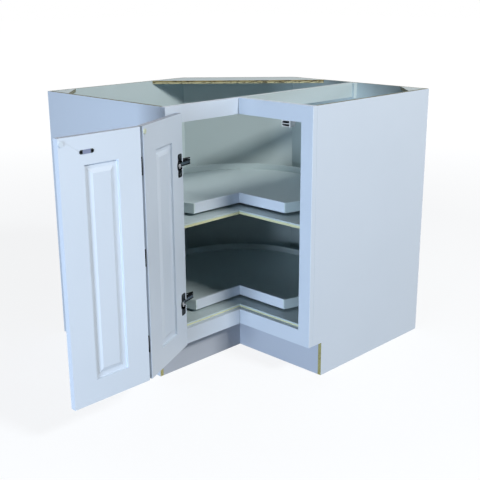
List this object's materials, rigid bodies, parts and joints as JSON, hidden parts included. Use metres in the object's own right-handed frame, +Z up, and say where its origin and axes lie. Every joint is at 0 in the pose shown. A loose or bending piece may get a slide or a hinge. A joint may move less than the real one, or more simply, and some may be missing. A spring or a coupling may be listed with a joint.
{
  "type": "corner carousel cabinet",
  "caption": "L-shaped corner base cabinet with two pie-cut turntable shelves behind a bi-fold panelled door on concealed hinges.",
  "frame": {"origin": "the point on the floor where the two room walls meet, behind the diagonal back panel", "axes": "+Z up; the right wing runs along +X with its back to the wall y = 0, the left wing runs along -Y with its back to the wall x = 0"},
  "size_m": [0.9144, 1.3723, 0.8763],
  "materials": {
    "painted_wood": "white melamine-faced and painted board, satin",
    "raw_plywood": "unfinished plywood",
    "plated_steel": "zinc plated",
    "dark_steel": "dark satin",
    "bright_steel": "ground",
    "white_plastic": "moulded",
    "magnet": "sintered",
    "clear_pad": "soft clear pad"
  },
  "bodies": {
    "carcass": {"left_end_panel": "painted_wood", "right_end_panel": "painted_wood", "left_back_panel": "painted_wood", "right_back_panel": "painted_wood", "diagonal_back_panel": "painted_wood", "cabinet_floor": "painted_wood", "fixed_shelf": "painted_wood", "left_outer_stile": "painted_wood", "right_outer_stile": "painted_wood", "left_top_rail": "painted_wood", "right_top_rail": "painted_wood", "left_bottom_rail": "painted_wood", "right_bottom_rail": "painted_wood", "left_toe_board": "painted_wood", "right_toe_board": "painted_wood", "corner_brace": "raw_plywood", "corner_gussets": "raw_plywood", "top_stretcher": "painted_wood", "stretcher_cleat": "raw_plywood", "floor_cleats": "raw_plywood", "shelf_cleats": "painted_wood", "hinge_arms": "dark_steel", "hinge_mount_plates": "plated_steel", "hinge_plate_screws": "plated_steel", "catch_body": "white_plastic", "catch_magnet": "magnet", "catch_poles": "dark_steel", "upper_bearing_base": "plated_steel", "lower_bearing_base": "plated_steel", "bearing_balls": "bright_steel", "bearing_screws": "plated_steel"},
    "hinged_leaf": {"hinged_leaf_hinge_stile": "painted_wood", "hinged_leaf_fold_stile": "painted_wood", "hinged_leaf_top_rail": "painted_wood", "hinged_leaf_bottom_rail": "painted_wood", "hinged_leaf_panel": "painted_wood", "hinge_cups": "dark_steel", "hinge_pins": "bright_steel", "cup_screws": "plated_steel", "fold_hinge_leaves_hinged_side": "dark_steel", "fold_hinge_pins": "bright_steel", "hinged_leaf_bumper": "clear_pad"},
    "folding_leaf": {"folding_leaf_free_stile": "painted_wood", "folding_leaf_fold_stile": "painted_wood", "folding_leaf_top_rail": "painted_wood", "folding_leaf_bottom_rail": "painted_wood", "folding_leaf_panel": "painted_wood", "fold_hinge_leaves_folding_side": "dark_steel", "strike_plate": "plated_steel", "strike_screws": "dark_steel", "folding_leaf_bumper": "clear_pad"},
    "upper_turntable": {"upper_tray_board": "painted_wood", "upper_tray_notch_boards": "painted_wood", "upper_tray_rim": "painted_wood", "upper_bearing_top": "plated_steel"},
    "lower_turntable": {"lower_tray_board": "painted_wood", "lower_tray_notch_boards": "painted_wood", "lower_tray_rim": "painted_wood", "lower_bearing_top": "plated_steel"}
  },
  "joints": [
    {"name": "door_hinge_swing", "type": "hinge", "parent": "carcass", "child": "hinged_leaf", "pos_m": [0.6251, -0.8836, 0.493], "axis": [0, 0, 1], "range_deg": [-10, 155]},
    {"name": "fold_hinge_swing", "type": "hinge", "parent": "hinged_leaf", "child": "folding_leaf", "pos_m": [0.72305, -1.11377, 0.493], "axis": [0, 0, 1], "range_deg": [-65, 25]},
    {"name": "upper_turntable_spin", "type": "hinge", "parent": "carcass", "child": "upper_turntable", "pos_m": [0.43, -0.43, 0.52], "axis": [0, 0, 1], "range_deg": [-360, 360]},
    {"name": "lower_turntable_spin", "type": "hinge", "parent": "carcass", "child": "lower_turntable", "pos_m": [0.43, -0.43, 0.19], "axis": [0, 0, 1], "range_deg": [-360, 360]}
  ],
  "couplings": [
    {"joint": "fold_hinge_swing", "follows": "door_hinge_swing", "ratio": -0.41935}
  ]
}
